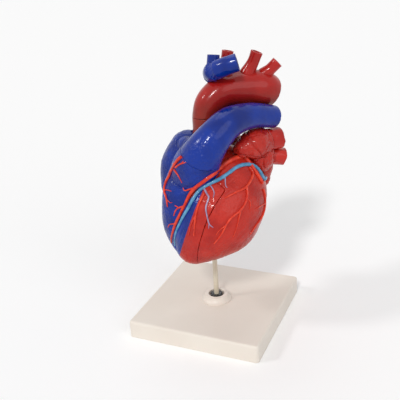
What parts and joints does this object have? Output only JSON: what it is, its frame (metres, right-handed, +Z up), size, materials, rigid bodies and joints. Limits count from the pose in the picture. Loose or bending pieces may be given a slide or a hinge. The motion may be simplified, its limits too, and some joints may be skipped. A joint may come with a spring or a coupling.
{
  "type": "human heart anatomy model",
  "caption": "Human heart teaching model on a rod and square stand, with a front wall, both atrium walls and the great vessels that come off to show the chambers and valves.",
  "frame": {"origin": "centre of the underside of the square base", "axes": "+Z up; the base's front side faces -Y and its right side +X; the heart is turned 30 degrees on its rod"},
  "size_m": [0.17, 0.17, 0.3378],
  "materials": {
    "base": "cream moulded plastic, satin",
    "rod": "cream coated rod",
    "dark_steel": "dark plated steel",
    "socket": "cream plastic tube",
    "magnet": "nickel plated",
    "red": "varnished paint on plastic",
    "aorta": "varnished paint on plastic",
    "blue": "varnished paint on plastic",
    "scarlet": "varnished paint on plastic",
    "sky": "varnished paint on plastic",
    "ivory": "ivory paint on plastic"
  },
  "bodies": {
    "stand": {"base_plate": "base", "rod_collar": "base", "base_washer": "dark_steel"},
    "rod": {"support_rod": "rod", "toothed_nut": "dark_steel", "rod_end_nut": "dark_steel"},
    "heart_core": {"rod_socket": "socket", "left_ventricle": "red", "right_ventricle": "blue", "mitral_valve": "ivory", "tricuspid_valve": "ivory", "aortic_valve": "ivory", "pulmonary_valve": "ivory", "left_papillary_muscles": "red", "right_papillary_muscles": "red", "left_tendinous_cords": "ivory", "right_tendinous_cords": "ivory", "aortic_root": "aorta", "pulmonary_trunk": "blue", "right_pulmonary_artery": "blue", "right_atrium": "blue", "left_atrium": "red", "right_pulmonary_veins": "red", "superior_vena_cava": "blue", "inferior_vena_cava": "blue", "left_coronary_artery": "scarlet", "cardiac_vein_stem": "sky", "left_marginal_arteries": "scarlet", "coronary_sinus": "sky", "posterior_descending_artery": "scarlet", "seam_magnets": "magnet"},
    "front_wall": {"front_wall_left": "red", "front_wall_right": "blue", "front_wall_magnets": "magnet", "anterior_descending_artery": "scarlet", "great_cardiac_vein": "sky", "diagonal_artery": "scarlet", "right_coronary_artery": "scarlet"},
    "right_atrium_cover": {"right_atrium_wall": "blue", "right_atrium_magnets": "magnet"},
    "left_atrium_cover": {"left_atrium_wall": "red", "left_superior_pulmonary_vein": "red", "left_inferior_pulmonary_vein": "red", "left_atrium_magnets": "magnet"},
    "great_vessels": {"aortic_arch": "aorta", "brachiocephalic_trunk": "aorta", "left_carotid_artery": "aorta", "left_subclavian_artery": "aorta", "brachiocephalic_veins": "blue"}
  },
  "joints": [
    {"name": "rod_turn", "type": "hinge", "parent": "stand", "child": "rod", "pos_m": [0, 0, 0.0225], "axis": [0, 0, 1], "continuous": true},
    {"name": "heart_lift", "type": "slide", "parent": "rod", "child": "heart_core", "axis": [0, 0, 1], "range_m": [0, 0.06]},
    {"name": "front_wall_off", "type": "slide", "parent": "heart_core", "child": "front_wall", "axis": [-0.5, -0.866, 0], "range_m": [0, 0.1]},
    {"name": "right_atrium_wall_off", "type": "slide", "parent": "heart_core", "child": "right_atrium_cover", "axis": [-0.866, 0.5, 0], "range_m": [0, 0.06]},
    {"name": "left_atrium_wall_off", "type": "slide", "parent": "heart_core", "child": "left_atrium_cover", "axis": [0.866, -0.5, 0], "range_m": [0, 0.07]},
    {"name": "great_vessels_lift", "type": "slide", "parent": "heart_core", "child": "great_vessels", "axis": [0, 0, 1], "range_m": [0, 0.09]}
  ]
}
